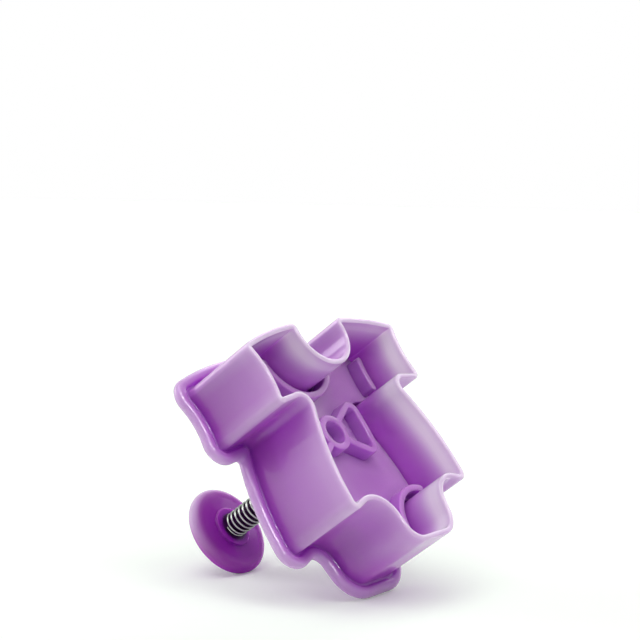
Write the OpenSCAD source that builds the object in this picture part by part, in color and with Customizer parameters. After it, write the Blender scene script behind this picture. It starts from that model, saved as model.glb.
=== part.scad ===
// Plunger cutter for rolled dough, in the outline of a baby's bodysuit.
// A walled shell cuts the shape. Inside it a stamp prints the collar, cuffs, leg bands and
// bow, and a press on the knob drives the stamp down to the cutting edge. The spring lifts it.
// The part stands on its cutting edge, and +Z runs from there up to the knob.
// +X is the wearer's side and +Y is the collar end.

/* [Outline: the wall's inner face] */
// Half width of the collar opening, which ends below in a half circle
neck_half_w = 9.7; // [8.8:0.1:10.6]
// Height of the collar's lowest point over the middle
neck_y = 17.3; // [16.3:0.1:18.3]
// Height of the shoulder's tip beside the collar
shoulder_tip_y = 28.15; // [27.3:0.05:29]
// Sideways place of the shoulder's crown
shoulder_mid_x = 19.15; // [18.2:0.05:20.1]
// Height of the shoulder's crown
shoulder_mid_y = 27.5; // [27:0.1:28]
// Radius of the shoulder's bow
shoulder_r = 85; // [60:1:89]
// Sideways place of the shoulder's outer corner
shoulder_x = 28.3; // [27.3:0.1:29.3]
// Height of the shoulder's outer corner
shoulder_y = 24.85; // [24:0.05:25.7]
// Sideways place of the cuff's middle, which is bowed inwards
cuff_mid_x = 25.85; // [25:0.05:26.7]
// Height of the cuff's middle
cuff_mid_y = 18.3; // [17.3:0.1:19.3]
// Radius of the cuff's bow
cuff_r = 21; // [15:1:24]
// Sideways place of the sleeve's lower corner
sleeve_x = 27.55; // [26.6:0.05:28.5]
// Height of the sleeve's lower corner
sleeve_y = 11.4; // [10.6:0.1:12.1]
// Sideways place of the armpit
armpit_x = 15.85; // [15:0.05:16.7]
// Height of the armpit
armpit_y = 12.75; // [12:0.05:13.5]
// Radius inside the armpit
armpit_r = 3.45; // [2.5:0.05:4.5]
// Half width of the hips, and of the side's widest place
hip_x = 22.7; // [21.5:0.1:24]
// Height of the side's bow
side_y = -4.85; // [-6:0.05:-3.6]
// Radius of the side's bow
side_r = 53; // [40:1:58]
// Height of the hip's corner
hip_y = -17.1; // [-18:0.1:-16.2]
// Radius of the hip's corner
hip_r = 0.8; // [0.4:0.1:2]
// Sideways place of the leg opening's corner
leg_x = 11.05; // [10.2:0.05:12]
// Height of the leg opening's corner
leg_y = -13.35; // [-14.2:0.05:-12.5]
// Radius of the leg opening
leg_r = 7.65; // [6:0.05:8.3]
// Half width of the crotch's end
crotch_x = 8.1; // [7.2:0.1:9]
// Height of the crotch's end
crotch_y = -28.3; // [-29.3:0.1:-27.3]
// Radius of the crotch's corners
crotch_r = 4.6; // [3.4:0.1:5.4]
// Radius of the sharp corners at the shoulders and sleeves
tip_r = 0.3; // [0.2:0.1:1]

/* [Shell] */
// Height from the cutting edge to the flange
wall_h = 21.6; // [19:0.1:25]
// Thickness of the cutting wall
wall_t = 1.4; // [1.1:0.1:1.8]
// Thickness of the flange and of the deck that closes the top
deck_t = 1.9; // [1.6:0.1:2.6]
// Width of the flange beyond the wall, with its rolled lip
flange_w = 3.3; // [3.2:0.1:4.2]
// Thickness of the rolled lip
lip_t = 2.8; // [2.4:0.1:2.9]
// How far the lip stands over the flange's back
lip_rise = 0.2; // [0:0.05:0.4]

/* [Guide] */
// Height of the plunger's axis over the middle of the outline
axis_y = 1.5; // [-1:0.1:4]
// Length of the guide sleeve under the deck
guide_l = 3.2; // [2.4:0.1:4]
// Thickness of the guide sleeve
guide_t = 1.8; // [1.3:0.1:2.4]
// Radial running gap between the stem and the guide
guide_gap = 0.08; // [0.05:0.01:0.1]
// Height of the collar that centres the spring on the deck
seat_h = 1.2; // [0.8:0.1:2]
// Thickness of that collar
seat_t = 1.4; // [1:0.1:2]
// Gap between the spring and that collar
seat_gap = 0.35; // [0.2:0.05:0.6]

/* [Stamp] */
// Thickness of the stamp's plate
plate_t = 2; // [1.6:0.1:2.4]
// Gap all round between the stamp and the wall
stamp_gap = 0.45; // [0.35:0.05:0.7]
// Gap between the stamp's boss and the guide that stops it
stop_gap = 0.1; // [0.05:0.05:0.3]
// Thickness of the boss round the stem's spigot
boss_t = 2.2; // [1.6:0.1:2.6]
// Height of that boss over the plate's back
boss_h = 1.8; // [1.2:0.1:2.6]
// Thickness left under the spigot's socket
socket_floor = 0.9; // [0.8:0.1:1.2]

/* [Ridges] */
// Width of the printing ridges
ridge_w = 1.65; // [1.2:0.05:1.9]
// Height of the printing ridges
ridge_h = 3.7; // [2.8:0.1:4.2]
// Height of the narrow crown on each ridge
crown_h = 0.45; // [0.3:0.05:0.6]
// How much narrower the crown is on each side
crown_inset = 0.3; // [0.2:0.05:0.45]
// Distance of the border ridges from the wall
ridge_inset = 2.05; // [1.8:0.05:2.6]
// Half sweep of the collar's ridge, in degrees
neck_sweep = 87; // [75:1:88]
// Length of the cuff's ridge
cuff_ridge_l = 9.6; // [7:0.1:11]
// Straight run of the leg's ridge towards the hip
leg_run_out = 1.5; // [0.5:0.1:2.2]
// Straight run of the leg's ridge towards the crotch
leg_run_in = 2.8; // [1:0.1:4]
// Height of the bow over the middle of the outline
bow_y = 4.65; // [3:0.05:6]
// Radius of the middle of the knot's ring
knot_r = 3.9; // [3.2:0.1:4.4]
// Half width of the bow, to the middle of its ridge
bow_half_w = 12.5; // [11:0.1:13.4]
// Height of the loop's outer corners over the bow's middle
bow_corner_h = 7.8; // [6.6:0.1:8.4]
// Height at which the loops leave the knot
bow_root_h = 2.15; // [1.2:0.05:2.4]
// Radius of the loop's outer corners
bow_corner_r = 2.1; // [1.5:0.1:2.6]
// How far the loop's end bulges outwards
bow_bulge = 0.3; // [0:0.05:0.6]

/* [Knob and stem] */
// Diameter of the knob
knob_d = 23.1; // [20:0.1:26]
// Thickness of the knob's rounded edge
knob_edge_t = 3.4; // [2.8:0.1:4.2]
// Height of the dome over the edge
dome_h = 1.25; // [0.8:0.05:2.5]
// Radius of the pad under the knob
pad_r = 5.2; // [4.6:0.1:6.2]
// Height of that pad
pad_h = 0.6; // [0.4:0.1:1]
// Fall of the knob's underside from the edge to the pad
under_fall = 0.35; // [0.1:0.05:0.6]
// Diameter of the stem inside the spring
stem_d = 4.4; // [4:0.1:5]
// How much slimmer, in radius, the spigot is that is pressed into the stamp's boss
spigot_step = 0.6; // [0.4:0.1:1]

/* [Spring] */
// Length of the spring at rest, from the deck to the knob
spring_l = 27.8; // [26.5:0.1:31]
// Gap between the spring and the stem inside it
spring_clear = 0.25; // [0.25:0.05:0.4]
// Diameter of the spring's wire
wire_d = 0.8; // [0.6:0.05:1]
// Turns of the spring between its ends
spring_turns = 17; // [12:1:18]
// Radius of the bend between the spring's last turn and its straight end
wire_bend_r = 0.6; // [0.5:0.05:0.8]

/* [Hidden] */
$fn = 96;
// Least radius of a hollow corner, once the outline has been moved outwards
least_r = 0.15;
// How fast that radius grows beyond the wall, so that the flange's notches are round
notch_growth = 0.22;
// Straight bit at the collar's lowest point, which keeps its two arcs apart
neck_flat = 0.1;
// Share of a side that the roundings at its two ends may fill
side_fill = 0.99;
// Steps in the arcs of the outline
FEW = 5;
SOME = 6;
MANY = 9;
// Sides and rings of the wire
WIRE_SIDES = 6;
RINGS_PER_TURN = 8;
LIP_SIDES = 12;
DOME_STEPS = 10;
RIDGE_STEPS = 14;

lip_r = lip_t / 2;
lip_mid = wall_t + flange_w - lip_r;
deck_top = wall_h + deck_t;
lip_z = deck_top + lip_rise - lip_r;
stem_r = stem_d / 2;
bore_r = stem_r + guide_gap;
guide_z = wall_h - guide_l;
boss_top = guide_z - stop_gap;
plate_back = boss_top - boss_h;
stamp_z = plate_back - plate_t;
spigot_r = stem_r - spigot_step;
socket_z = stamp_z + socket_floor;
root_x = sqrt(pow(knot_r - ridge_w / 4, 2) - pow(bow_root_h, 2));
coil_r = stem_r + spring_clear + wire_d / 2;
spring_r = coil_r + wire_d / 2;
pad_z = deck_top + spring_l;
knob_under = pad_z + pad_h;
edge_r = knob_edge_t / 2;
edge_mid_r = knob_d / 2 - edge_r;
edge_mid_z = knob_under + under_fall + edge_r;

// The outline goes clockwise from the collar's lowest point down the +X half.
// Each corner is its two coordinates, its radius and the steps in its arc.
half_outline = [
    [neck_half_w, neck_y, neck_half_w - neck_flat, MANY],
    [neck_half_w, shoulder_tip_y, tip_r, SOME],
    [shoulder_mid_x, shoulder_mid_y, shoulder_r, FEW],
    [shoulder_x, shoulder_y, tip_r, SOME],
    [cuff_mid_x, cuff_mid_y, cuff_r, FEW],
    [sleeve_x, sleeve_y, tip_r, SOME],
    [armpit_x, armpit_y, armpit_r, SOME],
    [hip_x, side_y, side_r, SOME],
    [hip_x, hip_y, hip_r, SOME],
    [leg_x, leg_y, leg_r, MANY],
    [crotch_x, crotch_y, crotch_r, SOME]
];
outline = concat(half_outline, [for (i = [len(half_outline) - 1:-1:0]) mirrored(half_outline[i])]);
// Places in the outline of the corners that the ridges follow
CUFF = 4;
LEG = 9;

function mirrored(corner) = [-corner[0], corner[1], corner[2], corner[3]];
function spot(corner) = [corner[0], corner[1]];
function unit(v) = v / norm(v);
function left_of(v) = [-v[1], v[0]];
function wrap(path, i) = (i + len(path)) % len(path);
function side(path, i) = spot(path[wrap(path, i + 1)]) - spot(path[wrap(path, i)]);
function turn(path, i) = let (u = side(path, i - 1), v = side(path, i)) atan2(cross(u, v), u * v);

// A corner's rounding takes up this much of the side on each hand of it
function reach(path, i) = path[wrap(path, i)][2] * tan(abs(turn(path, i)) / 2);
// Two roundings that would meet on a side are shrunk until they fit it
function share(path, i) =
    let (need = reach(path, i) + reach(path, i + 1))
    need > 0 ? min(1, side_fill * norm(side(path, i)) / need) : 1;
function fitted_r(path, i) = path[i][2] * min(share(path, i - 1), share(path, i));
function arc_centre(path, i) =
    let (u = unit(side(path, i - 1)), t = turn(path, i), r = fitted_r(path, i))
    spot(path[i]) - u * r * tan(abs(t) / 2) + left_of(u) * sign(t) * r;
function arc(centre, r, from, to, steps) =
    [for (k = [0:steps]) let (a = from + (to - from) * k / steps) centre + r * [cos(a), sin(a)]];
function corner_points(path, i) =
    path[i][2] == 0 ? [spot(path[i])] :
    let (u = unit(side(path, i - 1)),
         t = turn(path, i),
         from = atan2(u[1], u[0]) - 90 * sign(t))
    arc(arc_centre(path, i), fitted_r(path, i), from, from + t, path[i][3]);
function rounded(path) = [for (i = [0:len(path) - 1]) each corner_points(path, i)];

// The outline moved outwards by d, with each rounding still about its own centre
function moved_corner(path, i, d) =
    let (nu = left_of(unit(side(path, i - 1))),
         nv = left_of(unit(side(path, i))),
         spot_now = spot(path[i]) + d * (nu + nv) / (1 + nu * nv),
         least = least_r + notch_growth * max(0, d - wall_t),
         r = path[i][2] - sign(turn(path, i)) * d)
    [spot_now[0], spot_now[1], max(least, r), path[i][3]];
function moved(path, d) = [for (i = [0:len(path) - 1]) moved_corner(path, i, d)];
function ring(d) = rounded(moved(outline, d));

// Middle of the whole flange, which becomes the part's own middle
flange_ys = [for (p = ring(wall_t + flange_w)) p[1]];
mid_y = (min(flange_ys) + max(flange_ys)) / 2;

module centred() {
    translate([0, -mid_y, 0]) children();
}

module on_axis() {
    centred() translate([0, axis_y, 0]) children();
}

// A closed skin over rings of points that all have as many points.
// With caps it ends flat at the first and last ring, and without them it joins up.
module skin(rings, caps) {
    count = len(rings);
    around = len(rings[0]);
    last = caps ? count - 2 : count - 1;
    function at(k, i) = (k % count) * around + i % around;
    walls = [
        for (k = [0:last], i = [0:around - 1])
            each [
                [at(k, i), at(k, i + 1), at(k + 1, i + 1)],
                [at(k, i), at(k + 1, i + 1), at(k + 1, i)]
            ]
    ];
    ends = caps ? [
        [for (i = [around - 1:-1:0]) at(0, i)],
        [for (i = [0:around - 1]) at(count - 1, i)]
    ] : [];
    polyhedron([for (r = rings) each r], concat(walls, ends), convexity = 8);
}

module rolled_lip() {
    rings = [
        for (k = [0:LIP_SIDES - 1])
            let (a = 360 * k / LIP_SIDES, z = lip_z + lip_r * sin(a))
            [for (p = ring(lip_mid + lip_r * cos(a))) [p[0], p[1], z]]
    ];
    skin(rings, false);
}

module cutter_shell() {
    color([0.68, 0.47, 0.77]) difference() {
        union() {
            centred() linear_extrude(wall_h + deck_t / 2) difference() {
                polygon(ring(wall_t));
                polygon(ring(0));
            }
            centred() translate([0, 0, wall_h]) linear_extrude(deck_t) polygon(ring(lip_mid));
            centred() rolled_lip();
            on_axis() translate([0, 0, guide_z])
                cylinder(r = bore_r + guide_t, h = guide_l + deck_t / 2);
            on_axis() translate([0, 0, deck_top - deck_t / 2])
                cylinder(r = spring_r + seat_gap + seat_t, h = deck_t / 2 + seat_h);
        }
        on_axis() translate([0, 0, guide_z - deck_t]) cylinder(r = bore_r, h = wall_h);
        on_axis() translate([0, 0, deck_top]) cylinder(r = spring_r + seat_gap, h = wall_h);
    }
}

// Flat shape of a ridge with round ends that follows a line of points
module ridge_shape(line, w) {
    last = len(line) - 1;
    function across(i) = left_of(unit(line[min(i + 1, last)] - line[max(i - 1, 0)])) * w / 2;
    polygon(concat(
        [for (i = [0:last]) line[i] + across(i)],
        [for (i = [last:-1:0]) line[i] - across(i)]
    ));
    for (end = [line[0], line[last]]) translate(end) circle(d = w, $fn = 24);
}

function neck_ridge() =
    arc([0, neck_y + neck_half_w], neck_half_w + ridge_inset, 270 - neck_sweep, 270 + neck_sweep, 2 * RIDGE_STEPS);

function cuff_ridge() =
    let (centre = arc_centre(outline, CUFF),
         r = fitted_r(outline, CUFF) + ridge_inset,
         out = spot(outline[CUFF]) - centre,
         mid = atan2(out[1], out[0]),
         half = cuff_ridge_l / 2 / r * 180 / PI)
    arc(centre, r, mid - half, mid + half, RIDGE_STEPS);

function leg_ridge() =
    let (to_crotch = unit(side(outline, LEG)),
         to_hip = -unit(side(outline, LEG - 1)),
         t = turn(outline, LEG),
         from = atan2(-to_hip[1], -to_hip[0]) - 90 * sign(t),
         bend = arc(arc_centre(outline, LEG), fitted_r(outline, LEG) + ridge_inset, from, from + t, RIDGE_STEPS))
    concat([bend[0] + to_hip * leg_run_out], bend, [bend[RIDGE_STEPS] + to_crotch * leg_run_in]);

// The loops start a little inside the knot's ring, so that their round ends stay within it
function loop_ridge() = [
    for (p = rounded([
        [root_x, bow_root_h, 0, 0],
        [bow_half_w, bow_corner_h, bow_corner_r, SOME],
        [bow_half_w + bow_bulge, 0, bow_half_w, FEW],
        [bow_half_w, -bow_corner_h, bow_corner_r, SOME],
        [root_x, -bow_root_h, 0, 0]
    ])) p + [0, bow_y]
];

module ridges_flat(w) {
    ridge_shape(neck_ridge(), w);
    for (hand = [0, 1]) mirror([hand, 0]) {
        ridge_shape(cuff_ridge(), w);
        ridge_shape(leg_ridge(), w);
        difference() {
            ridge_shape(loop_ridge(), w);
            translate([0, bow_y]) circle(r = knot_r);
        }
    }
    translate([0, bow_y]) difference() {
        circle(r = knot_r + w / 2);
        circle(r = knot_r - w / 2);
    }
}

module stamp_plate() {
    color([0.58, 0.36, 0.69]) difference() {
        union() {
            centred() translate([0, 0, stamp_z]) linear_extrude(plate_t) polygon(ring(-stamp_gap));
            centred() translate([0, 0, stamp_z - ridge_h + crown_h])
                linear_extrude(ridge_h - crown_h + plate_t / 4) ridges_flat(ridge_w);
            centred() translate([0, 0, stamp_z - ridge_h])
                linear_extrude(crown_h) ridges_flat(ridge_w - 2 * crown_inset);
            on_axis() translate([0, 0, plate_back - plate_t / 4])
                cylinder(r = spigot_r + boss_t, h = boss_h + plate_t / 4);
        }
        on_axis() translate([0, 0, socket_z]) cylinder(r = spigot_r, h = wall_h);
    }
}

// Half section of the knob, its stem and the stem's spigot
function knob_section() =
    let (dome_r = (pow(edge_mid_r, 2) + pow(dome_h, 2)) / (2 * dome_h),
         edge_top = edge_mid_z + edge_r,
         dome_a = asin(edge_mid_r / dome_r),
         dome = arc([0, edge_top + dome_h - dome_r], dome_r, 90 - dome_a, 90, DOME_STEPS),
         edge = arc([edge_mid_r, edge_mid_z], edge_r, -90, 90, DOME_STEPS))
    concat(
        [[0, socket_z], [spigot_r, socket_z], [spigot_r, boss_top], [stem_r, boss_top]],
        [[stem_r, pad_z], [pad_r, pad_z], [pad_r, knob_under]],
        edge,
        [for (k = [1:DOME_STEPS - 1]) dome[k]],
        [[0, edge_top + dome_h]]
    );

module plunger_knob() {
    color([0.47, 0.2, 0.6]) on_axis() rotate_extrude() polygon(knob_section());
}

// Middle line of the wire: a straight end, a bend, the turns, a bend and a straight end
spring_bend_a = wire_bend_r / coil_r * 180 / PI;
coil_z = wire_d + wire_bend_r;
coil_pitch = (spring_l - 2 * coil_z) / spring_turns;
coil_a = 360 * spring_turns - 2 * spring_bend_a;
coil_steps = spring_turns * RINGS_PER_TURN;
BEND_STEPS = 2;

function on_coil(a, z) = [coil_r * cos(a), coil_r * sin(a), z];
function bend_in(k) =
    let (b = 90 * k / BEND_STEPS)
    on_coil(spring_bend_a * (1 - cos(b)), wire_d + wire_bend_r * sin(b));
function bend_out(k) =
    let (b = 90 * k / BEND_STEPS)
    on_coil(360 * spring_turns - spring_bend_a * (1 - cos(b)), spring_l - wire_d - wire_bend_r * sin(b));
wire_line = concat(
    [on_coil(0, 0)],
    [for (k = [0:BEND_STEPS - 1]) bend_in(k)],
    [for (k = [0:coil_steps])
        on_coil(spring_bend_a + coil_a * k / coil_steps, coil_z + coil_pitch * spring_turns * k / coil_steps)],
    [for (k = [BEND_STEPS - 1:-1:0]) bend_out(k)],
    [on_coil(0, spring_l)]
);

// Six points round the wire at one place on its line
function wire_ring(i) =
    let (last = len(wire_line) - 1,
         ahead = unit(wire_line[min(i + 1, last)] - wire_line[max(i - 1, 0)]),
         here = wire_line[i],
         outward = unit([here[0], here[1], 0]),
         across = unit(outward - ahead * (outward * ahead)),
         up = cross(ahead, across))
    [for (k = [0:WIRE_SIDES - 1]) let (a = 360 * k / WIRE_SIDES)
        here + wire_d / 2 * (cos(a) * across + sin(a) * up)];

// Places on the wire half a turn or more apart are the ones that could touch
wire_gap = min([
    for (i = [0:len(wire_line) - 1], j = [i + RINGS_PER_TURN / 2:1:len(wire_line) - 1])
        norm(wire_line[j] - wire_line[i])
]) - wire_d;
echo(least_gap_of_the_spring_to_itself_mm = wire_gap);

module return_spring() {
    color([0.76, 0.77, 0.79]) on_axis() translate([0, 0, deck_top])
        skin([for (i = [0:len(wire_line) - 1]) wire_ring(i)], true);
}

cutter_shell();
stamp_plate();
plunger_knob();
return_spring();
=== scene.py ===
"""The looks of the plunger cutter: a lilac moulded shell, its stamp, its knob and its spring.

Sizes are millimetres in the part's own frame: it stands on its cutting edge, and +Z is up to the
knob. Boxes read from the frame are metres.
"""

import math
from collections import namedtuple

import bmesh
import bpy
from mathutils import Euler, Matrix, Vector
from mathutils.geometry import tessellate_polygon


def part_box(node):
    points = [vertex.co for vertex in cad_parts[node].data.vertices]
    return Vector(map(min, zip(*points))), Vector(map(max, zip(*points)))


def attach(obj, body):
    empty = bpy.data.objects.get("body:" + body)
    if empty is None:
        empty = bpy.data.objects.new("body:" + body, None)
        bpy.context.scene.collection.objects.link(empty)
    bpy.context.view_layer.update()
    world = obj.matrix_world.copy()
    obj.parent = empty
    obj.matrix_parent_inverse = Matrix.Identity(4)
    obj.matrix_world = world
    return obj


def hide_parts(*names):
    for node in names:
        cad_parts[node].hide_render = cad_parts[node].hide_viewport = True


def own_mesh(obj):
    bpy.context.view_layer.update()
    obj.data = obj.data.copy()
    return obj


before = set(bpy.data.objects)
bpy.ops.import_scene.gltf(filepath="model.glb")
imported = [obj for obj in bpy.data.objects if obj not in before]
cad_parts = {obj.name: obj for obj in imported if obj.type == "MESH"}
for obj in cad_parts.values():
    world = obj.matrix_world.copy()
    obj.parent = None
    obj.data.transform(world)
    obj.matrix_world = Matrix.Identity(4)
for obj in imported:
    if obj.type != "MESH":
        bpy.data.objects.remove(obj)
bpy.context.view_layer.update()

MM = 0.001
SHELL_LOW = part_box("cutter_shell")[0]
KNOB_LOW, KNOB_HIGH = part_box("plunger_knob")
SPRING_LOW, SPRING_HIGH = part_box("return_spring")

# Corners of the wall's inner face down the +X half, clockwise from the collar: x, y, radius
NECK_HALF_W = 9.7
NECK_Y = 17.3
NECK_R = NECK_HALF_W - 0.1
TIP_R = 0.3
HALF_OUTLINE = (
    (NECK_HALF_W, NECK_Y, NECK_R),
    (NECK_HALF_W, 28.15, TIP_R),
    (19.15, 27.5, 85),
    (28.3, 24.85, TIP_R),
    (25.85, 18.3, 21),
    (27.55, 11.4, TIP_R),
    (15.85, 12.75, 3.45),
    (22.7, -4.85, 53),
    (22.7, -17.1, 0.8),
    (11.05, -13.35, 7.65),
    (8.1, -28.3, 4.6),
)
# Which of those corners bow the cuff and round the leg
CUFF, LEG = 4, 9
# The plunger's axis, at the outline's own y
STEM_Y = 1.5
LEAST_R = 0.15
NOTCH_GROWTH = 0.22
SIDE_FILL = 0.99

# Shell: distances are outwards from the wall's inner face
WALL_H = 21.6
WALL_RIM_T = 1.35
WALL_FOOT_T = 1.4
RIM_IN_R = 0.55
RIM_OUT_R = 0.62
CEILING_R = 0.8
TROUGH_D = 2.0
TROUGH_R = 0.4
LIP_FOOT_D = 2.4
LIP_FLAT_D = 3.3
LIP_BACK_D = 2.7
LIP_FRONT = 20.9
LIP_BACK = 23.7
LIP_R = 1.35
LIP_FOOT_R = 0.9
FLANGE_D = 4.7
DECK_TOP = 23.5
DECK_EDGE_D = 2.1
DECK_EDGE_R = 0.6
DECK_FLAT_D = 0.6

# Down the wall's inner face: height above the cutting edge, and how pale it is painted there,
# painted light that stands in for light coming through the thin wall
INNER_FACE = ((14.0, 0.2), (9.0, 0.42), (6.0, 0.76), (3.2, 1.06), (1.0, 1.42))
# Up its outer face: how far it leans out, height, and how pale it is painted, as painted light
OUTER_FACE = ((0.01, 1.6, 0.42), (0.02, 5.0, 0.26), (0.03, 12.0, 0.18), (0.03, 18.5, 0.1))
# How strongly painted shade darkens the hollows of the wall's inner face and the lip
INNER_SHADE = 0.3
# Outward corners are painted paler between these distances: a painted highlight on their rounding
CORNER_BAND = (WALL_RIM_T / 2, WALL_FOOT_T + 0.05)
CORNER_PAINTED_LIGHT = 0.3
LEAST_BEND = 0.02
# Painted shade on the wall's inner face where it faces the collar's end, for less light coming
# through it
END_PAINTED_SHADE = 0.26

# Two rings of points on a flat face beside its rounded edge, which keep its shading flat
CEILING_RINGS = (1.4, 2.2)
STAMP_RINGS = (1.2, 1.9)
ROUND_RINGS = (0.9, 1.4)

# Guide and stem
STEM_R = 2.2
BORE_R = 2.28
SLEEVE_R = 4.08
SLEEVE_Z = 18.4
SEAT_IN_R = 3.6
SEAT_OUT_R = 5.0
SEAT_H = 1.2

# Stamp
STAMP_GAP = 0.45
FACE_Z = 14.5
PLATE_T = 2.0
STAMP_BACK = FACE_Z + PLATE_T
BOSS_TOP = 18.3
SPIGOT_R = 1.6
SOCKET_Z = 15.4
SOCKET_FLAT_R = 1.1
BOSS_R = 3.8

# Ridges on the stamp
RIDGE_W = 1.8
RIDGE_H = 3.7
RIDGE_INSET = 2.05
RIDGE_ROOT = 0.4
RIDGE_FLARE = 0.12
RIDGE_STEP = 0.22
RIDGE_SIDES = 40
FLAT_CROWN = 0.45
SIDE_RISE = 6.0
LEAST_TAPER = 0.002
NECK_SWEEP = math.radians(174)
CUFF_BAND = 9.6
LEG_TO_HIP = 1.5
LEG_TO_CROTCH = 2.8

# Bow
BOW_Y = 4.65
KNOT_R = 3.9
KNOT_PROUD = 0.07
LOOP_W = 12.5
LOOP_HALF_H = 7.8
LOOP_R = 2.1
LOOP_BULGE = 0.3
LOOP_ROOT_H = 2.15

# Knob
KNOB_R = 11.55
KNOB_EDGE_R = 1.7
KNOB_EDGE_FILL = 0.97
DOME_H = 1.25
PAD_R = 5.2
PAD_H = 0.6
PAD_FLAT = 0.3
UNDER_FALL = 0.35
UNDER_BOW_R = 6
UNDER_BOW_IN = 1.2
UNDER_BOW_FALL = 0.9
STEM_MID_Z = 30
SPIGOT_FLAT_R = 0.4
CROWN_FLAT_R = 0.3
# The stem is painted near-black, painted shade for the gaps between the spring's coils
STEM_PAINTED_SHADE = -0.4

# Spring
WIRE_R = 0.4
WIRE_SIDES = 16
COIL_R = 2.85
COIL_TURNS = 19
STEPS_A_TURN = 40
CLOSED_PITCH = 2.06
REST_LENGTH = (SPRING_HIGH.z - SPRING_LOW.z) / MM

ARC_STEP = math.radians(7.5)
STEP_SLACK = 0.01
ROUND_STEPS = 128
MERGE_GAP = 1e-7


# Plane outlines

def unit(v):
    return v / v.length


def left_of(v):
    return Vector((-v.y, v.x))


def spot(corner):
    return Vector((corner[0], corner[1]))


def side(path, i):
    return spot(path[(i + 1) % len(path)]) - spot(path[i % len(path)])


def turn(path, i):
    u, v = side(path, i - 1), side(path, i)
    return math.atan2(u.x * v.y - u.y * v.x, u.dot(v))


def reach(path, i):
    return path[i % len(path)][2] * math.tan(abs(turn(path, i)) / 2)


def share(path, i):
    need = reach(path, i) + reach(path, i + 1)
    return min(1, SIDE_FILL * side(path, i).length / need) if need > 0 else 1


def fitted_r(path, i):
    return path[i][2] * min(share(path, i - 1), share(path, i))


def arc_centre(path, i):
    u, t, r = unit(side(path, i - 1)), turn(path, i), fitted_r(path, i)
    return spot(path[i]) - u * r * math.tan(abs(t) / 2) + left_of(u) * math.copysign(r, t)


def arc_start(path, i):
    """The angle, seen from the corner's arc centre, at which its rounding starts."""
    u = unit(side(path, i - 1))
    return math.atan2(u.y, u.x) - math.copysign(math.pi / 2, turn(path, i))


def arc(centre, r, start, sweep, steps):
    angles = [start + sweep * k / steps for k in range(steps + 1)]
    return [centre + r * Vector((math.cos(a), math.sin(a))) for a in angles]


def corner_points(path, i, least_steps=5):
    """The rounded corner, with as many points whatever its radius."""
    if path[i][2] == 0:
        return [spot(path[i])]
    t = turn(path, i)
    steps = max(least_steps, math.ceil(abs(t) / ARC_STEP - STEP_SLACK))
    return arc(arc_centre(path, i), fitted_r(path, i), arc_start(path, i), t, steps)


def rounded(path, closed=True, stops=(0.12, 0.5, 0.88)):
    """The path's points, with a few stops on each straight side so that its shading stays flat."""
    parts = [corner_points(path, i) for i in range(len(path))]
    points = []
    for i, part in enumerate(parts):
        points += part
        if closed or i + 1 < len(parts):
            a, b = part[-1], parts[(i + 1) % len(parts)][0]
            points += [a.lerp(b, s) for s in stops]
    return points


def mirrored(path):
    return list(path) + [(-x, y, r) for x, y, r in reversed(path)]


def moved(path, d):
    """The path moved outwards by d, with each rounding still about its own centre."""
    least = LEAST_R + NOTCH_GROWTH * max(0, d - WALL_FOOT_T)
    out = []
    for i in range(len(path)):
        nu, nv = left_of(unit(side(path, i - 1))), left_of(unit(side(path, i)))
        p = spot(path[i]) + d * (nu + nv) / (1 + nu.dot(nv))
        out.append((p.x, p.y, max(least, path[i][2] - math.copysign(d, turn(path, i)))))
    return out


OUTLINE = mirrored(HALF_OUTLINE)
FLANGE_YS = [p.y for p in rounded(moved(OUTLINE, FLANGE_D))]
MID_Y = (min(FLANGE_YS) + max(FLANGE_YS)) / 2
AXIS = Vector((0, STEM_Y - MID_Y))


def ring(d):
    """The outline at distance d outside the wall's inner face, in the part's frame."""
    return [p - Vector((0, MID_Y)) for p in rounded(moved(OUTLINE, d))]


def circle(r):
    """A circle about the plunger's axis, clockwise as the outline is."""
    return arc(AXIS, r, 0, -2 * math.pi, ROUND_STEPS)[:-1]


# Solid skins

Corner = namedtuple("Corner", "d z glow r shade", defaults=(0, 1.0))


def blended(corners, longest=1.6):
    """A section with rounded corners: distance, height, glow and shade at each of its points.

    A corner has a distance or radius d, a height z and a rounding r. Glow is how much painted light
    makes the plastic pale there, and shade is how strongly painted shade darkens its hollows.
    """
    path = [(c.d, c.z, c.r) for c in corners]
    points, tones = [], []
    for i, corner in enumerate(corners):
        part = corner_points(path, i) if 0 < i < len(path) - 1 else [spot(path[i])]
        tone = Vector((corner.glow, corner.shade))
        if points:
            steps = math.ceil((part[0] - points[-1]).length / longest)
            a, from_tone = points[-1], tones[-1]
            points += [a.lerp(part[0], k / steps) for k in range(1, steps)]
            tones += [from_tone.lerp(tone, k / steps) for k in range(1, steps)]
        points += part
        tones += [tone] * len(part)
    lengths = [0.0]
    for a, b in zip(points, points[1:]):
        lengths.append(lengths[-1] + (b - a).length)
    return [(p.x, p.y, *tone) for p, tone in zip(points, smoothed(tones, lengths))]


def smoothed(values, lengths, spread=1.6):
    """Values averaged over their neighbours along a section, so that no tone has an edge."""
    out = []
    for here in lengths:
        weights = [math.exp(-((s - here) / spread) ** 2) for s in lengths]
        out.append(sum((w * v for w, v in zip(weights, values)), Vector((0, 0))) / sum(weights))
    return out


def corner_paleness(flat, fade=1.5):
    """How near each point of a ring is to its small outward corners, at most 1."""
    bends = [-turn(flat, i) for i in range(len(flat))]
    corners = [(p, bend / (math.pi / 2)) for p, bend in zip(flat, bends) if bend > LEAST_BEND]
    near = [sum(b * math.exp(-((p - c).length / fade) ** 2) for c, b in corners) for p in flat]
    return [min(1, value) for value in near]


def turned_to_end(flat):
    """How squarely each point of a ring faces the collar's end, from 0 to 1."""
    spans = [flat[(i + 1) % len(flat)] - flat[i - 1] for i in range(len(flat))]
    return [max(0, span.normalized().x) ** 2 for span in spans]


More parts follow.
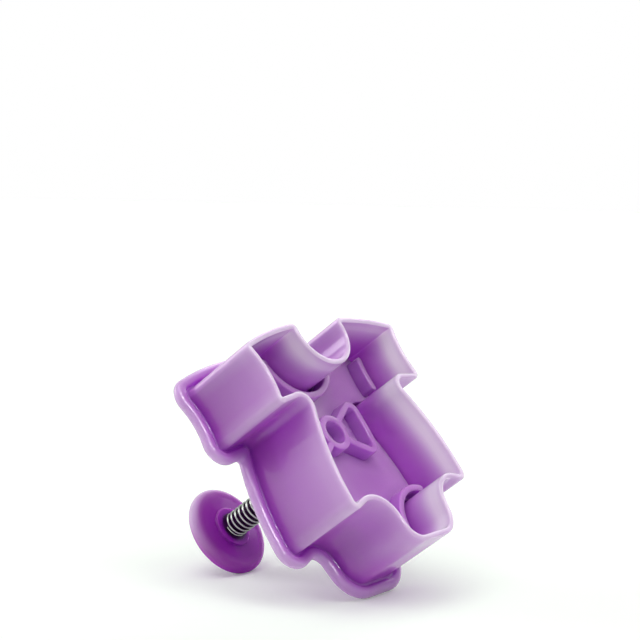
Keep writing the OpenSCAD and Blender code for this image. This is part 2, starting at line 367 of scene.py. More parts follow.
class Skin:
    """A closed mesh in the making: rings of points, joined in turn and closed by flat caps."""

    def __init__(self):
        self.points, self.faces, self.glow, self.shade = [], [], [], []

    def add_ring(self, flat, z, glow, shade, paler):
        start = len(self.points)
        self.points += [(p.x, p.y, z) for p in flat]
        self.glow += [glow + more for more in paler]
        self.shade += [shade] * len(flat)
        return list(range(start, start + len(flat)))

    def join(self, a, b):
        n = len(a)
        self.faces += [(a[i], a[(i + 1) % n], b[(i + 1) % n], b[i]) for i in range(n)]

    def loft(self, shape, section, pale_corners=None):
        """Rings of shape(distance), one for each point of the section.

        Between the two distances of pale_corners, the shape's outward corners get painted light, a
        painted highlight on their rounding. On the wall's inner face, what faces the collar's end
        gets painted shade, for less light coming through it.
        """
        rings = []
        for d, z, glow, shade in section:
            flat = shape(d)
            paler = [0.0] * len(flat)
            if pale_corners and pale_corners[0] < d < pale_corners[1]:
                paler = [CORNER_PAINTED_LIGHT * (1 - glow) * near for near in corner_paleness(flat)]
            elif pale_corners and d <= 0:
                paler = [-END_PAINTED_SHADE * glow * turned for turned in turned_to_end(flat)]
            rings.append(self.add_ring(flat, z, glow, shade, paler))
        for a, b in zip(rings, rings[1:]):
            self.join(a, b)
        return rings[0], rings[-1]

    def cap(self, *loops):
        """A flat face inside the first loop, with a hole at each other loop."""
        order = [i for loop in loops for i in loop]
        corners = [[Vector(self.points[i]) for i in loop] for loop in loops]
        self.faces += [tuple(order[k] for k in tri) for tri in tessellate_polygon(corners)]

    def mesh(self, name):
        data = bpy.data.meshes.new(name)
        data.from_pydata([(x * MM, y * MM, z * MM) for x, y, z in self.points], [], self.faces)
        for tone, values in (("glow", self.glow), ("shade", self.shade)):
            data.attributes.new(tone, "FLOAT", "POINT").data.foreach_set("value", values)
        bm = bmesh.new()
        bm.from_mesh(data)
        bmesh.ops.remove_doubles(bm, verts=bm.verts, dist=MERGE_GAP)
        bmesh.ops.recalc_face_normals(bm, faces=bm.faces)
        bm.to_mesh(data)
        bm.free()
        data.shade_smooth()
        return data


def new_object(name, data):
    made = bpy.data.objects.new(name, data)
    bpy.context.scene.collection.objects.link(made)
    return made


# Node trees

class Tree:
    """A node tree that is written as calls: each call adds a node and fills its inputs."""

    def __init__(self, group):
        self.group = group

    def named(self, name, kind, direction="INPUT", value=None):
        socket = self.group.interface.new_socket(name=name, in_out=direction, socket_type=kind)
        if value is not None:
            socket.default_value = value

    def fill(self, socket, value):
        """Links another node's output to the socket, or sets the socket's own value."""
        if hasattr(value, "is_output"):
            self.group.links.new(value, socket)
        else:
            socket.default_value = value

    def add(self, kind, inputs=(), **settings):
        node = self.group.nodes.new(kind)
        for key, value in settings.items():
            setattr(node, key, value)
        for key, value in dict(inputs).items():
            self.fill(node.inputs[key], value)
        return node

    def made(self, kind, inputs=(), **settings):
        """The first output of a new node."""
        return self.add(kind, inputs, **settings).outputs[0]

    def maths(self, operation, *values, clamp=False):
        inputs = dict(enumerate(values))
        return self.made("ShaderNodeMath", inputs, operation=operation, use_clamp=clamp)

    def parts(self, vector):
        return self.add("ShaderNodeSeparateXYZ", {0: vector}).outputs

    def position(self):
        return self.parts(self.made("GeometryNodeInputPosition"))

    def circle(self, sides, radius):
        inputs = {"Resolution": sides, "Radius": radius}
        return self.made("GeometryNodeCurvePrimitiveCircle", inputs)

    def seen(self):
        """1 for what shows straight on, in gloss or through glass, and 0 for the light it gives."""
        path = self.add("ShaderNodeLightPath").outputs
        indirect = self.maths("ADD", path["Is Glossy Ray"], path["Is Transmission Ray"])
        return self.maths("ADD", path["Is Camera Ray"], indirect, clamp=True)


def label(key):
    """A tree's input as it is shown: rounded_ends is Rounded ends."""
    return key.replace("_", " ").capitalize()


def sweeping_tree(name, **sizes):
    """A geometry tree with these sizes as its named inputs, and its inputs' sockets."""
    tree = Tree(bpy.data.node_groups.new(name, "GeometryNodeTree"))
    tree.named("Geometry", "NodeSocketGeometry")
    for key, value in sizes.items():
        tree.named(label(key), "NodeSocketFloat", value=value)
    tree.named("Material", "NodeSocketMaterial")
    tree.named("Geometry", "NodeSocketGeometry", "OUTPUT")
    return tree, tree.add("NodeGroupInput").outputs


def finish_tree(tree, geometry, material):
    geometry = tree.made("GeometryNodeSetShadeSmooth", {"Geometry": geometry})
    geometry = tree.made("GeometryNodeRealizeInstances", {"Geometry": geometry})
    geometry = tree.made("GeometryNodeSetMaterial", {"Geometry": geometry, "Material": material})
    tree.add("NodeGroupOutput", {0: geometry})
    return tree.group


def plain_mesh(body):
    """What the object's modifiers make of it, as a plain mesh."""
    evaluated = body.evaluated_get(bpy.context.evaluated_depsgraph_get())
    return bpy.data.meshes.new_from_object(evaluated)


def grown(name, data, group, **values):
    """The mesh that a node group makes of data, as a plain mesh."""
    source = new_object(name, data)
    modifier = source.modifiers.new(name, "NODES")
    modifier.node_group = group
    sockets = {s.name: s.identifier for s in group.interface.items_tree if s.in_out == "INPUT"}
    for key, value in values.items():
        modifier[sockets[label(key)]] = value
    out = plain_mesh(source)
    bpy.data.objects.remove(source)
    return out


def fused(name, meshes, crease=35):
    """The meshes as one closed skin, with a crisp line where they meet."""
    body = new_object(name, meshes[0])
    extras = [new_object("fused_in", data) for data in meshes[1:]]
    for extra in extras:
        union = body.modifiers.new("union", "BOOLEAN")
        union.operation = "UNION"
        union.solver = "EXACT"
        union.use_self = True
        union.object = extra
    out = plain_mesh(body)
    for spent in [body] + extras:
        bpy.data.objects.remove(spent)
    out.shade_smooth()
    out.set_sharp_from_angle(angle=math.radians(crease))
    return out


# The shell

def shell_section():
    """From the ceiling down the wall, round its edge, up to the lip and over to the deck."""
    near, far = CEILING_RINGS
    return blended(
        [
            Corner(-far, WALL_H, glow=0.15, shade=INNER_SHADE),
            Corner(-near, WALL_H, glow=0.15, shade=INNER_SHADE),
            Corner(0, WALL_H, glow=0.1, r=CEILING_R, shade=INNER_SHADE),
        ]
        + [Corner(0, z, glow=glow, shade=INNER_SHADE) for z, glow in INNER_FACE]
        + [
            Corner(0, 0, glow=1.0, r=RIM_IN_R, shade=INNER_SHADE),
            Corner(WALL_RIM_T, 0, glow=0.45, r=RIM_OUT_R, shade=INNER_SHADE),
        ]
        + [Corner(WALL_RIM_T + lean, z, glow=glow) for lean, z, glow in OUTER_FACE]
        + [
            Corner(WALL_FOOT_T, WALL_H, glow=0.02, r=TROUGH_R, shade=0.7),
            Corner(TROUGH_D, WALL_H, glow=0.12, r=TROUGH_R, shade=0.5),
            Corner(LIP_FOOT_D, LIP_FRONT, glow=0.3, r=LIP_FOOT_R, shade=0.5),
            Corner(LIP_FLAT_D, LIP_FRONT, glow=0.45, shade=INNER_SHADE),
            Corner(FLANGE_D, LIP_FRONT, glow=0.64, r=LIP_R, shade=INNER_SHADE),
            Corner(FLANGE_D, LIP_BACK, glow=0.64, r=LIP_R, shade=INNER_SHADE),
            Corner(LIP_BACK_D, LIP_BACK, glow=0.3, r=LIP_FOOT_R),
            Corner(DECK_EDGE_D, DECK_TOP, glow=0.1, r=DECK_EDGE_R),
            Corner(DECK_FLAT_D, DECK_TOP, glow=0.15),
            Corner(-near, DECK_TOP, glow=0.15),
        ]
    )


def guide_section():
    """From the ceiling round the guide sleeve, up its bore and over the spring's seat."""
    near, far = ROUND_RINGS
    return blended([
        Corner(SLEEVE_R + far, WALL_H, glow=0.3),
        Corner(SLEEVE_R + near, WALL_H, glow=0.3),
        Corner(SLEEVE_R, WALL_H, glow=0.3, r=0.5),
        Corner(SLEEVE_R, SLEEVE_Z, glow=0.4, r=0.3),
        Corner(BORE_R, SLEEVE_Z, glow=0.3, r=0.15),
        Corner(BORE_R, DECK_TOP, glow=0.2, r=0.15),
        Corner(SEAT_IN_R, DECK_TOP, glow=0.0, r=0.15),
        Corner(SEAT_IN_R, DECK_TOP + SEAT_H, glow=0.3, r=0.3),
        Corner(SEAT_OUT_R, DECK_TOP + SEAT_H, glow=0.4, r=0.5),
        Corner(SEAT_OUT_R, DECK_TOP, glow=0.1, r=0.6),
        Corner(SEAT_OUT_R + near, DECK_TOP, glow=0.15),
        Corner(SEAT_OUT_R + far, DECK_TOP, glow=0.15),
    ])


def build_shell():
    skin = Skin()
    ceiling, back = skin.loft(ring, shell_section(), pale_corners=CORNER_BAND)
    guide_foot, seat_foot = skin.loft(circle, guide_section())
    skin.cap(ceiling, guide_foot)
    skin.cap(back, seat_foot)
    return new_object("shell", skin.mesh("shell"))


# The stamp

def stamp_section():
    """From the face round the plate's edge to its back."""
    near, far = STAMP_RINGS
    return blended([
        Corner(-STAMP_GAP - far, FACE_Z, glow=0.5),
        Corner(-STAMP_GAP - near, FACE_Z, glow=0.5),
        Corner(-STAMP_GAP, FACE_Z, glow=0.4, r=0.45),
        Corner(-STAMP_GAP, STAMP_BACK, glow=0.2, r=0.3),
        Corner(-STAMP_GAP - near, STAMP_BACK, glow=0.2),
        Corner(-STAMP_GAP - far, STAMP_BACK, glow=0.2),
    ])


def boss_section():
    """From the plate's back round the boss and down into its socket."""
    near, far = ROUND_RINGS
    return blended([
        Corner(BOSS_R + far, STAMP_BACK, glow=0.2),
        Corner(BOSS_R + near, STAMP_BACK, glow=0.2),
        Corner(BOSS_R, STAMP_BACK, glow=0.2, r=0.5),
        Corner(BOSS_R, BOSS_TOP, glow=0.3, r=0.3),
        Corner(SPIGOT_R, BOSS_TOP, glow=0.2, r=0.1),
        Corner(SPIGOT_R, SOCKET_Z, glow=0.1, r=0.1),
        Corner(SOCKET_FLAT_R, SOCKET_Z, glow=0.1),
    ])


def neck_line():
    centre = Vector((0, NECK_Y + NECK_HALF_W))
    start = -math.pi / 2 - NECK_SWEEP / 2
    return arc(centre, NECK_HALF_W + RIDGE_INSET, start, NECK_SWEEP, steps=60)


def cuff_line():
    centre = arc_centre(OUTLINE, CUFF)
    r = fitted_r(OUTLINE, CUFF) + RIDGE_INSET
    out = spot(OUTLINE[CUFF]) - centre
    half = CUFF_BAND / 2 / r
    return arc(centre, r, math.atan2(out.y, out.x) - half, 2 * half, steps=24)


def leg_line():
    centre, r = arc_centre(OUTLINE, LEG), fitted_r(OUTLINE, LEG) + RIDGE_INSET
    bend = arc(centre, r, arc_start(OUTLINE, LEG), turn(OUTLINE, LEG), steps=30)
    hip_end = bend[0] - unit(side(OUTLINE, LEG - 1)) * LEG_TO_HIP
    crotch_end = bend[-1] + unit(side(OUTLINE, LEG)) * LEG_TO_CROTCH
    return [hip_end] + bend + [crotch_end]


def loop_line():
    """One loop of the bow, from the knot's upper side round to its lower side."""
    root_x = math.sqrt((KNOT_R - RIDGE_W / 4) ** 2 - LOOP_ROOT_H ** 2)
    path = [
        (root_x, LOOP_ROOT_H, 0),
        (LOOP_W, LOOP_HALF_H, LOOP_R),
        (LOOP_W + LOOP_BULGE, 0, LOOP_W),
        (LOOP_W, -LOOP_HALF_H, LOOP_R),
        (root_x, -LOOP_ROOT_H, 0),
    ]
    return [p + Vector((0, BOW_Y)) for p in rounded(path, closed=False)]


def knot_line():
    return arc(Vector((0, BOW_Y)), KNOT_R, 0, 2 * math.pi, steps=72)[:-1]


def line_mesh(name, lines, closed=False):
    """Edges on the stamp's face along each line, one loose chain a line."""
    points, edges = [], []
    for line in lines:
        start = len(points)
        points += [Vector((p.x * MM, (p.y - MID_Y) * MM, FACE_Z * MM)) for p in line]
        edges += [(start + k, start + k + 1) for k in range(len(line) - 1)]
        if closed:
            edges.append((start + len(line) - 1, start))
    data = bpy.data.meshes.new(name)
    data.from_pydata(points, edges, [])
    return data


def tapered_curve(tree, line, half_width, rounded_ends):
    """The line as an upright curve, and its taper: the share of the width that is left there."""
    curve = tree.made("GeometryNodeMeshToCurve", {"Mesh": line})
    even = {"Curve": curve, "Length": RIDGE_STEP * MM}
    curve = tree.made("GeometryNodeResampleCurve", even, mode="LENGTH")
    along = tree.add("GeometryNodeSplineParameter").outputs["Length"]
    total = tree.made("GeometryNodeSplineLength")
    from_end = tree.maths("MINIMUM", along, tree.maths("SUBTRACT", total, along))
    near = tree.maths("SUBTRACT", 1.0, tree.maths("DIVIDE", from_end, half_width), clamp=True)
    round_off = tree.maths("SUBTRACT", 1.0, tree.maths("POWER", near, 2.0))
    round_off = tree.maths("SQRT", tree.maths("MAXIMUM", round_off, LEAST_TAPER))
    square_off = tree.maths("SUBTRACT", 1.0, rounded_ends)
    kept = tree.add("GeometryNodeCaptureAttribute", {"Geometry": curve})
    kept.capture_items.new("FLOAT", "taper")
    tree.fill(kept.inputs[1], tree.maths("MAXIMUM", round_off, square_off))
    upright = tree.made("GeometryNodeSetCurveNormal", {"Curve": kept.outputs[0]}, mode="Z_UP")
    return upright, kept.outputs[1]


def ridge_profile(tree, height, half_width):
    """A ridge's section: a soft crown on upright sides that flare at the foot, and a sunk root."""
    around = tree.circle(RIDGE_SIDES, 1.0)
    x, y = tree.position()[:2]
    up = tree.maths("POWER", tree.maths("MAXIMUM", y, 0.0), FLAT_CROWN)
    side_up = tree.maths("MULTIPLY", up, SIDE_RISE, clamp=True)
    flare = tree.maths("MULTIPLY", tree.maths("SUBTRACT", 1.0, side_up), RIDGE_FLARE)
    out = tree.maths("POWER", tree.maths("ABSOLUTE", x), FLAT_CROWN)
    across = tree.maths("MULTIPLY", tree.maths("SIGN", x), out)
    across = tree.maths("MULTIPLY", across, tree.maths("ADD", flare, 1.0))
    across = tree.maths("MULTIPLY", across, half_width)
    straight = tree.maths("MULTIPLY", side_up, tree.maths("SUBTRACT", height, half_width))
    crown = tree.maths("ADD", straight, tree.maths("MULTIPLY", up, half_width))
    root = tree.maths("MULTIPLY", tree.maths("MINIMUM", y, 0.0), RIDGE_ROOT * MM)
    shape = tree.made("ShaderNodeCombineXYZ", {0: across, 1: tree.maths("ADD", crown, root)})
    return tree.made("GeometryNodeSetPosition", {"Geometry": around, "Position": shape})


def ridge_tree():
    """Sweeps a soft half round along each edge chain, and rounds off the ends of open chains."""
    tree, given = sweeping_tree(
        "ridge along a line",
        width=RIDGE_W * MM,
        height=RIDGE_H * MM,
        foot_height=FACE_Z * MM,
        rounded_ends=1.0,
    )
    half = tree.maths("MULTIPLY", given["Width"], 0.5)
    curve, taper = tapered_curve(tree, given["Geometry"], half, given["Rounded ends"])
    profile = ridge_profile(tree, given["Height"], half)
    sweep = {"Curve": curve, "Profile Curve": profile, "Scale": taper, "Fill Caps": True}
    swept = tree.made("GeometryNodeCurveToMesh", sweep)

    # The taper lowers the crown as well, so each point is lifted back to the ridge's full height
    over = tree.maths("SUBTRACT", tree.position()[2], given["Foot height"])
    lost = tree.maths("SUBTRACT", tree.maths("DIVIDE", 1.0, taper), 1.0)
    lift = tree.made("ShaderNodeCombineXYZ", {2: tree.maths("MULTIPLY", over, lost)})
    swept = tree.made("GeometryNodeSetPosition", {"Geometry": swept, "Offset": lift})
    return finish_tree(tree, swept, given["Material"])


def face_down(data):
    """Turns ridges that were swept on the upper side of the face to its lower side."""
    top = max(v.co.z for v in data.vertices) - FACE_Z * MM
    low = FACE_Z * MM - min(v.co.z for v in data.vertices)
    if top > low:
        data.transform(Matrix.Translation((0, 0, 2 * FACE_Z * MM)) @ Matrix.Diagonal((1, 1, -1, 1)))
        data.flip_normals()


def build_stamp(plastic):
    skin = Skin()
    face, back = skin.loft(ring, stamp_section())
    boss_foot, socket = skin.loft(circle, boss_section())
    skin.cap(face)
    skin.cap(back, boss_foot)
    skin.cap(socket)
    halves = [cuff_line(), leg_line(), loop_line()]
    lines = [neck_line()] + halves + [[Vector((-p.x, p.y)) for p in line] for line in halves]
    group = ridge_tree()
    raised = grown("ridge_lines", line_mesh("ridge_lines", lines), group, material=plastic)
    knot_h = (RIDGE_H + KNOT_PROUD) * MM
    knot = line_mesh("knot_line", [knot_line()], closed=True)
    knot = grown("knot_line", knot, group, height=knot_h, rounded_ends=0.0, material=plastic)
    for data in (raised, knot):
        face_down(data)
    return new_object("stamp", fused("stamp", [skin.mesh("plate"), raised, knot]))


# The knob

def dome_points(edge_r, height, top, steps=8):
    """Radius and height of points on a shallow dome, from near its edge to near its middle."""
    curve_r = (edge_r ** 2 + height ** 2) / (2 * height)
    radii = [edge_r * k / steps for k in range(steps - 1, 0, -1)]
    return [(r, top - curve_r + math.sqrt(curve_r ** 2 - r ** 2)) for r in radii]


def knob_section():
    """From the spigot's end up the stem, under and round the disc and over its dome."""
    under = SPRING_HIGH.z / MM
    knob_under = under + PAD_H
    edge_mid = KNOB_R - KNOB_EDGE_R
    edge_z = knob_under + UNDER_FALL + KNOB_EDGE_R
    edge_r = KNOB_EDGE_R * KNOB_EDGE_FILL
    top = edge_z + KNOB_EDGE_R + DOME_H
    stem = (
        (SPIGOT_FLAT_R, SOCKET_Z, 0),
        (SPIGOT_R, SOCKET_Z, 0.2),
        (SPIGOT_R, BOSS_TOP, 0),
        (STEM_R, BOSS_TOP, 0.15),
        (STEM_R, STEM_MID_Z, 0),
        (STEM_R, under, 0.2),
    )
    bow = (edge_mid - UNDER_BOW_IN, knob_under + UNDER_FALL * UNDER_BOW_FALL)
    return blended(
        [Corner(radius, z, glow=STEM_PAINTED_SHADE, r=r, shade=0) for radius, z, r in stem]
        + [
            Corner(STEM_R + PAD_FLAT, under, glow=0.45),
            Corner(PAD_R, under, glow=0.45, r=0.3),
            Corner(PAD_R, knob_under, glow=0.42, r=0.35),
            Corner(*bow, glow=0.4, r=UNDER_BOW_R),
            Corner(KNOB_R, edge_z - KNOB_EDGE_R, glow=0.78, r=edge_r),
            Corner(KNOB_R, edge_z + KNOB_EDGE_R, glow=0.7, r=edge_r),
        ]
        + [Corner(radius, z, glow=0.3) for radius, z in dome_points(edge_mid, DOME_H, top)]
        + [Corner(CROWN_FLAT_R, top, glow=0.25)]
    )


def build_knob():
    skin = Skin()
    spigot, crown = skin.loft(circle, knob_section())
    skin.cap(spigot)
    skin.cap(crown)
    return new_object("knob", skin.mesh("knob"))


# The spring

def spring_tree():
    """A wire wound at one radius, with a closed turn at each end."""
    tree, given = sweeping_tree(
        "wound wire",
        coil_radius=COIL_R * MM,
        wire_radius=WIRE_R * MM,
        length=REST_LENGTH * MM,
        turns=COIL_TURNS,
    )
    turns, wire_r, coil_r = given["Turns"], given["Wire radius"], given["Coil radius"]
    steps = tree.maths("ADD", tree.maths("MULTIPLY", turns, STEPS_A_TURN), 1.0)
    line = tree.made("GeometryNodeMeshLine", {"Count": steps})
    wound = tree.maths("DIVIDE", tree.made("GeometryNodeInputIndex"), STEPS_A_TURN)
    angle = tree.maths("MULTIPLY", wound, 2 * math.pi)
    x = tree.maths("MULTIPLY", tree.maths("COSINE", angle), coil_r)
    y = tree.maths("MULTIPLY", tree.maths("SINE", angle), coil_r)

    # Turns wound so far in the first closed turn, the last one and the open ones between
    first = tree.maths("MINIMUM", wound, 1.0)
    last = tree.maths("SUBTRACT", wound, tree.maths("SUBTRACT", turns, 1.0))
    last = tree.maths("MAXIMUM", last, 0.0)
    between = tree.maths("SUBTRACT", tree.maths("SUBTRACT", wound, first), last)

    closed_pitch = tree.maths("MULTIPLY", wire_r, CLOSED_PITCH)
    wire_w = tree.maths("MULTIPLY", wire_r, 2.0)
    ends = tree.maths("ADD", wire_w, tree.maths("MULTIPLY", closed_pitch, 2.0))
    open_length = tree.maths("SUBTRACT", given["Length"], ends)
    open_pitch = tree.maths("DIVIDE", open_length, tree.maths("SUBTRACT", turns, 2.0))
    z = tree.maths("MULTIPLY", tree.maths("ADD", first, last), closed_pitch)
    z = tree.maths("ADD", z, tree.maths("MULTIPLY", between, open_pitch))
    z = tree.maths("ADD", z, wire_r)

    place = tree.made("ShaderNodeCombineXYZ", {0: x, 1: y, 2: z})
    line = tree.made("GeometryNodeSetPosition", {"Geometry": line, "Position": place})
    curve = tree.made("GeometryNodeMeshToCurve", {"Mesh": line})
    sweep = {"Curve": curve, "Profile Curve": tree.circle(WIRE_SIDES, wire_r), "Fill Caps": True}
    return finish_tree(tree, tree.made("GeometryNodeCurveToMesh", sweep), given["Material"])


def build_spring(steel):
    empty = bpy.data.meshes.new("wire")
    data = grown("wire", empty, spring_tree(), length=REST_LENGTH * MM, material=steel)
    data.transform(Matrix.Translation((AXIS.x * MM, AXIS.y * MM, SPRING_LOW.z)))
    return new_object("spring", data)


# Materials

class Finish(Tree):
    """A material written as calls, like a node group."""

    def __init__(self, name):
        self.material = bpy.data.materials.new(name)
        self.material.use_nodes = True
        super().__init__(self.material.node_tree)
        self.shader = self.group.nodes["Principled BSDF"]

    def set(self, **values):
        for key, value in values.items():
            name = key.replace("_", " ").title().replace("Ior", "IOR")
            self.fill(self.shader.inputs[name], value)

    def ramp(self, factor, stops):
        node = self.add("ShaderNodeValToRGB", {0: factor})
        node.color_ramp.interpolation = "B_SPLINE"
        elements = node.color_ramp.elements
        while len(elements) < len(stops):
            elements.new(0.5)
        for element, (position, colour) in zip(elements, stops):
            element.position = position
            element.color = (*colour, 1)
        return node.outputs["Color"]

    def noise(self, scale, detail):
        spots = self.add("ShaderNodeTexCoord").outputs["Object"]
        inputs = {"Vector": spots, "Scale": scale, "Detail": detail}
        return self.add("ShaderNodeTexNoise", inputs).outputs["Fac"]

    def attribute(self, name):
        return self.add("ShaderNodeAttribute", attribute_name=name).outputs["Fac"]

    def openness(self, within, samples=12):
        """1 in the open, and less the deeper a place lies in a hollow no wider than this."""
        inputs = {"Distance": within * MM}
        return self.add("ShaderNodeAmbientOcclusion", inputs, samples=samples).outputs["AO"]


def srgb(r, g, b):
    """A colour given as 8-bit display values, made linear."""
    parts = [c / 255 for c in (r, g, b)]
    return tuple(c / 12.92 if c <= 0.04045 else ((c + 0.055) / 1.055) ** 2.4 for c in parts)


# Each plastic's colours, from where painted shade makes it deepest to where painted light makes it
# palest
SHELL_TONES = (
    (0.0, srgb(170, 66, 194)),
    (0.4, srgb(168, 100, 186)),
    (0.8, srgb(193, 163, 206)),
    (1.1, srgb(234, 223, 239)),
)
STAMP_TONES = (
    (0.0, srgb(172, 60, 198)),
    (0.5, srgb(176, 116, 196)),
    (1.0, srgb(226, 166, 240)),
)
# The knob's darkest stop is for the stem: painted shade between the spring's coils
KNOB_TONES = (
    (0.0, srgb(38, 30, 42)),
    (0.04, srgb(152, 18, 186)),
    (0.62, srgb(158, 46, 164)),
    (1.1, srgb(206, 184, 216)),
)
# The wire's colours, from its shaded side to its open one
STEEL_TONES = (
    (0.1, srgb(16, 20, 17)),
    (0.45, srgb(84, 92, 86)),
    (0.85, srgb(182, 187, 180)),
)

PLASTIC_ROUGHNESS = 0.3
ROUGHNESS_SPREAD = 0.08
SPECKLE_SCALE = 900.0
SPECKLE_BUMP = 0.04
SPECKLE_HEIGHT = 0.01
CLOUD_SCALE = 60.0
CLOUD_DEPTH = 0.12
LIGHT_REACH = (5.0 * MM, 4.4 * MM, 4.8 * MM)
LEVEL_PAINTED_LIGHT = 0.34
WALL_PAINTED_LIGHT = 0.75
WIDE_HOLLOW = 14.0
WIRE_HOLLOW = 1.4
WIRE_FACING = 0.35
WIRE_PAINTED_EDGE_SHADE = 0.6
WIRE_ROUGHNESS = 0.12
WIRE_ROUGHNESS_SPREAD = 0.12
DRAWN_SCALE = 1400.0


def stamp_painted_light(finish):
    """Painted light and shade on the stamp: paler on its level faces, painted shade on the sides of
    its ridges, and painted light where the shell's walls stand round it, for light coming through
    them.
    """
    normal = finish.add("ShaderNodeTexCoord").outputs["Normal"]
    level = finish.maths("ABSOLUTE", finish.parts(normal)[2])
    walled_in = finish.maths("SUBTRACT", 1.0, finish.openness(WIDE_HOLLOW))
    through_walls = finish.maths("MULTIPLY", walled_in, WALL_PAINTED_LIGHT)
    return finish.maths("MULTIPLY_ADD", level, LEVEL_PAINTED_LIGHT, through_walls)


def milky_plastic(name, tones, shade, gloss, lift=0.0, ridges=False, hollow_reach=WIDE_HOLLOW):
    """Translucent moulded plastic, with light and shade painted into its colour: painted shade
    deepens it in hollows, and painted light makes it pale at its thin edges.
    """
    finish = Finish(name)
    if ridges:
        glow, depth = stamp_painted_light(finish), shade
    else:
        glow = finish.attribute("glow")
        depth = finish.maths("MULTIPLY", finish.attribute("shade"), shade)
    # Painted shade: the colour deepens where ambient occlusion finds a hollow, by the shade given
    open_sky = finish.maths("SUBTRACT", finish.openness(hollow_reach), 0.5)
    tone = finish.maths("ADD", glow, finish.maths("MULTIPLY", open_sky, depth))
    cloud = finish.maths("SUBTRACT", finish.noise(CLOUD_SCALE, detail=1.0), 0.5)
    tone = finish.maths("ADD", tone, finish.maths("MULTIPLY_ADD", cloud, CLOUD_DEPTH, lift))
    palest = tones[-1][0]
    tone = finish.maths("DIVIDE", tone, palest)
    colour = finish.ramp(tone, [(at / palest, shown) for at, shown in tones])

    speckle = finish.noise(SPECKLE_SCALE, detail=3.0)
    smoothest = PLASTIC_ROUGHNESS - ROUGHNESS_SPREAD / 2
    grain = finish.maths("MULTIPLY_ADD", speckle, ROUGHNESS_SPREAD, smoothest)
    raised = {"Height": speckle, "Distance": SPECKLE_HEIGHT * MM, "Strength": SPECKLE_BUMP}
    bump = finish.made("ShaderNodeBump", raised)
    finish.set(base_color=colour, roughness=grain, normal=bump)
    finish.set(ior=1.5, specular_ior_level=0.0, coat_weight=gloss, coat_roughness=0.1)
    finish.set(subsurface_weight=1.0, subsurface_scale=1.0, subsurface_radius=LIGHT_REACH)
    return finish.material


def spring_steel():
    finish = Finish("spring_steel")
    # Painted shade: darker between the coils, where ambient occlusion finds a hollow, and a painted
    # dark reflection along the wire's grazing edges
    facing = finish.add("ShaderNodeLayerWeight", {"Blend": WIRE_FACING}).outputs["Facing"]
    painted_edge_shade = finish.maths("MULTIPLY", facing, WIRE_PAINTED_EDGE_SHADE)
    tone = finish.maths("SUBTRACT", finish.openness(WIRE_HOLLOW), painted_edge_shade, clamp=True)
    drawn = finish.noise(DRAWN_SCALE, detail=2.0)
    grain = finish.maths("MULTIPLY_ADD", drawn, WIRE_ROUGHNESS_SPREAD, WIRE_ROUGHNESS)
    finish.set(base_color=finish.ramp(tone, STEEL_TONES), metallic=1.0, roughness=grain)
    return finish.material


# The pieces

def dress(piece, body, node, finish):
    piece.data.materials.clear()
    piece.data.materials.append(finish)
    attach(piece, body)
    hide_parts(node)


# Shade sets how strongly painted shade darkens each plastic in its hollows, within its hollow reach
shell_finish = milky_plastic("shell_plastic", SHELL_TONES, shade=0.55, gloss=0.95)
stamp_finish = milky_plastic(
    "stamp_plastic", STAMP_TONES, shade=0.5, gloss=0.9, lift=-0.16, ridges=True, hollow_reach=3.0
)
# The knob's painted shade reaches far, so its side towards the flange and floor is painted darker
knob_finish = milky_plastic("knob_plastic", KNOB_TONES, shade=1.0, gloss=0.35, hollow_reach=40.0)
steel_finish = spring_steel()

shell = build_shell()
stamp = build_stamp(stamp_finish)
knob = build_knob()
spring = build_spring(steel_finish)
dress(shell, "cutter", "cutter_shell", shell_finish)
dress(stamp, "plunger", "stamp_plate", stamp_finish)
dress(knob, "plunger", "plunger_knob", knob_finish)
dress(spring, "cutter", "return_spring", steel_finish)
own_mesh(spring)


# The stage: the cutter lies on its flange's lower lip and the knob's rim

LIP_HALF_H = (LIP_BACK - LIP_FRONT) / 2
LIP_MID = Vector((0, SHELL_LOW.y + LIP_HALF_H * MM, (LIP_FRONT + LIP_HALF_H) * MM))
KNOB_MID = Vector((0, KNOB_LOW.y + KNOB_EDGE_R * MM, KNOB_HIGH.z - (DOME_H + KNOB_EDGE_R) * MM))
FLOOR_RUN = (KNOB_MID - LIP_MID).normalized()
FLOOR_UP = Vector((0, FLOOR_RUN.z, -FLOOR_RUN.y))
FLOOR_SIZE = 3.0
FLOOR_SINK = 1.6
FLOOR_COLOUR = (0.86, 0.93, 0.85, 1)
FLOOR_GLOW = 0.15
WHITE = (1, 1, 1, 1)
SKY_LIGHT = 0.4


def bare_tree(owner):
    """The node tree of a material or a world, with nothing in it yet."""
    owner.use_nodes = True
    owner.node_tree.nodes.clear()
    return Tree(owner.node_tree)


def backdrop_white():
    """Seen straight on or in gloss, it is white save for the shadow on it. It has no back."""
    material = bpy.data.materials.new("floor_white")
    tree = bare_tree(material)
    glow = tree.maths("MULTIPLY", tree.seen(), FLOOR_GLOW)
    paper = tree.made("ShaderNodeBsdfDiffuse", {"Color": FLOOR_COLOUR})
    white = tree.made("ShaderNodeEmission", {"Color": WHITE, "Strength": glow})
    lit = tree.made("ShaderNodeAddShader", {0: paper, 1: white})
    clear = tree.made("ShaderNodeBsdfTransparent")
    behind = tree.add("ShaderNodeNewGeometry").outputs["Backfacing"]
    mixed = tree.made("ShaderNodeMixShader", {0: behind, 1: lit, 2: clear})
    tree.add("ShaderNodeOutputMaterial", {0: mixed})
    return material


def build_floor(material):
    x = Vector((1, 0, 0))
    at = LIP_MID - FLOOR_UP * FLOOR_SINK * MM
    sides = ((-1, -1), (-1, 1), (1, 1), (1, -1))
    corners = [at + FLOOR_SIZE * (sx * x + sy * FLOOR_RUN) for sx, sy in sides]
    data = bpy.data.meshes.new("floor")
    data.from_pydata(corners, [], [(0, 1, 2, 3)])
    if data.polygons[0].normal.dot(FLOOR_UP) < 0:
        data.flip_normals()
    floor = new_object("floor", data)
    floor.data.materials.append(material)


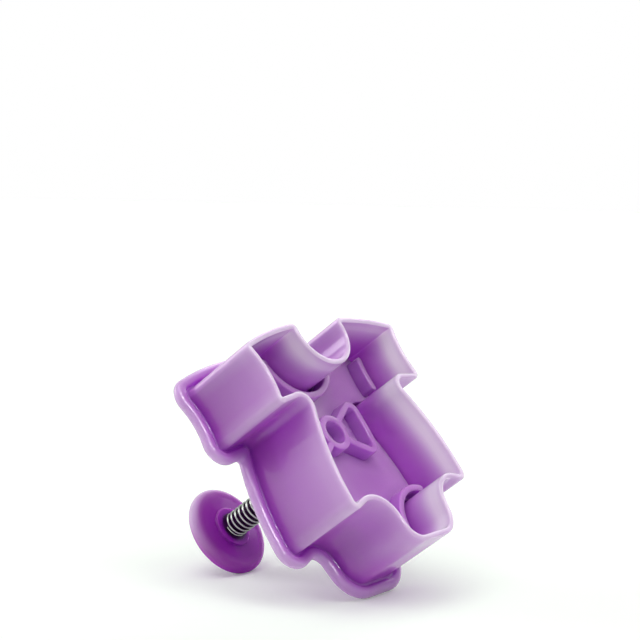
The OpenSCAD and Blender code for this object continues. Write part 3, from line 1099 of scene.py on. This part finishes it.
def build_world():
    world = bpy.data.worlds.new("studio")
    bpy.context.scene.world = world
    tree = bare_tree(world)
    strength = tree.maths("MULTIPLY_ADD", tree.seen(), 1 - SKY_LIGHT, SKY_LIGHT)
    sky = tree.made("ShaderNodeBackground", {"Color": WHITE, "Strength": strength})
    tree.add("ShaderNodeOutputWorld", {0: sky})


def soft_sun(name, toward, share_of_white, spread):
    """A broad lamp far off: a white face square to it gets this share of white."""
    lamp = bpy.data.lights.new(name, "SUN")
    lamp.energy = share_of_white * math.pi
    lamp.angle = math.radians(spread)
    holder = new_object(name, lamp)
    holder.rotation_euler = toward.to_track_quat("Z", "Y").to_euler()
    return holder


def strip_lamp(tilt=35, reach_round=16, share_of_white=0.3, spread=12):
    """Three suns in a row, whose glint runs along the lip on the side that faces the camera.

    They show in gloss alone, so that the light on the object stays at a plain level.
    """
    for around in (-reach_round, 0, reach_round):
        facing = Euler((0, math.radians(180 - tilt), math.radians(around))).to_matrix()
        crown = facing @ Vector((0, 0, 1))
        toward = 2 * crown.dot(CAMERA_BACK) * crown - CAMERA_BACK
        soft_sun("strip", toward, share_of_white, spread).visible_diffuse = False


# The camera stands where the photograph's did, close to the floor that the cutter lies on
CAMERA_SPOT = Vector((339.4, -83.6, -217.5)) * MM
CAMERA_RIGHT = Vector((-0.579, -0.479, -0.66))
CAMERA_BACK = Vector((0.812, -0.269, -0.518)).normalized()
FOCAL_LENGTH = 98.97
SENSOR_WIDTH = 36.0
NEAREST_SEEN = 0.01
FURTHEST_SEEN = 20


def build_camera():
    camera = new_object("camera", bpy.data.cameras.new("camera"))
    camera.data.lens = FOCAL_LENGTH
    camera.data.sensor_width = SENSOR_WIDTH
    camera.data.clip_start = NEAREST_SEEN
    camera.data.clip_end = FURTHEST_SEEN
    up = CAMERA_BACK.cross(CAMERA_RIGHT).normalized()
    right = up.cross(CAMERA_BACK)
    turned = Matrix((right, up, CAMERA_BACK)).transposed().to_4x4()
    camera.matrix_world = Matrix.Translation(CAMERA_SPOT) @ turned
    bpy.context.scene.camera = camera
    return right, up


view_right, view_up = build_camera()
build_floor(backdrop_white())
build_world()
overhead = FLOOR_UP + 0.2 * CAMERA_BACK - 0.25 * view_right
front = 0.36 * view_right + 0.71 * view_up + 0.58 * CAMERA_BACK
behind = -0.8 * CAMERA_BACK + 0.42 * view_right + 0.4 * view_up
window = -0.9 * view_right - 0.2 * CAMERA_BACK + 0.35 * view_up
soft_sun("overhead", overhead, share_of_white=0.33, spread=50)
soft_sun("front", front, share_of_white=0.21, spread=30)
soft_sun("behind", behind, share_of_white=0.33, spread=55)
soft_sun("window", window, share_of_white=0.2, spread=25)
strip_lamp()
bpy.context.scene.view_settings.view_transform = "Standard"
